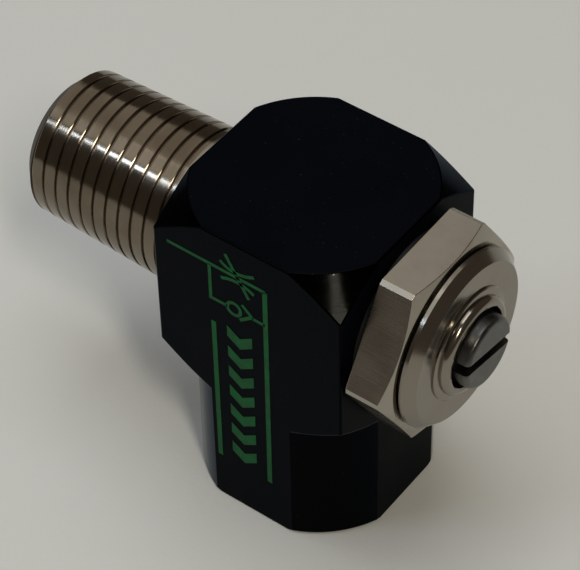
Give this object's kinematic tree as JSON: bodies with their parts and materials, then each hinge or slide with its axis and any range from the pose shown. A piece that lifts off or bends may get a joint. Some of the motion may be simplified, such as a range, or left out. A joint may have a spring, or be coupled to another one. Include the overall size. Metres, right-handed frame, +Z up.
{
  "type": "flow control valve",
  "caption": "Right-angle banjo flow control valve: square body that swivels on a hollow male-threaded stem with hex head and slotted needle, and a female port below.",
  "frame": {"origin": "centre of the body's bottom face, on the axis of the female port", "axes": "+Z up along the port's axis; +X along the stem's axis towards the hex head and needle, which is level at z = 23.495 mm; the male thread points along -X; the printed side faces -Y"},
  "size_m": [0.0445, 0.0198, 0.033],
  "materials": {
    "body_anodised": "black anodised, satin",
    "stem_plated": "nickel-plated brass, turned",
    "gland_plated": "nickel-plated brass, polished by turning",
    "needle_steel": "turned steel, dull",
    "seat_brass": "turned",
    "seal_rubber": "nitrile, matt",
    "lip_rubber": "nitrile, satin",
    "washer_acetal": "black acetal",
    "ring_steel": "spring steel, phosphated"
  },
  "bodies": {
    "body": {"valve_body": "body_anodised"},
    "stem": {"banjo_stem": "stem_plated", "needle_gland": "gland_plated", "metering_seat": "seat_brass", "gland_o_ring": "seal_rubber", "rear_stem_o_ring": "seal_rubber", "front_stem_o_ring": "seal_rubber", "check_lip_seal": "lip_rubber", "lip_seal_support_ring": "washer_acetal", "front_thrust_washer": "washer_acetal", "rear_thrust_washer": "washer_acetal", "retaining_ring": "ring_steel"},
    "needle_carrier": {"needle_o_ring": "seal_rubber"},
    "needle": {"adjusting_needle": "needle_steel"}
  },
  "joints": [
    {"name": "stem_swivel", "type": "hinge", "parent": "body", "child": "stem", "pos_m": [0, 0, 0.02349], "axis": [1, 0, 0], "continuous": true},
    {"name": "needle_travel", "type": "slide", "parent": "stem", "child": "needle_carrier", "axis": [1, 0, 0], "range_m": [-0.0014, 0.0008]},
    {"name": "needle_turn", "type": "hinge", "parent": "needle_carrier", "child": "needle", "pos_m": [0, 0, 0.02349], "axis": [1, 0, 0], "range_deg": [-1008, 576]}
  ],
  "couplings": [
    {"joint": "needle_turn", "follows": "needle_travel", "rad_per_m": 12566}
  ]
}
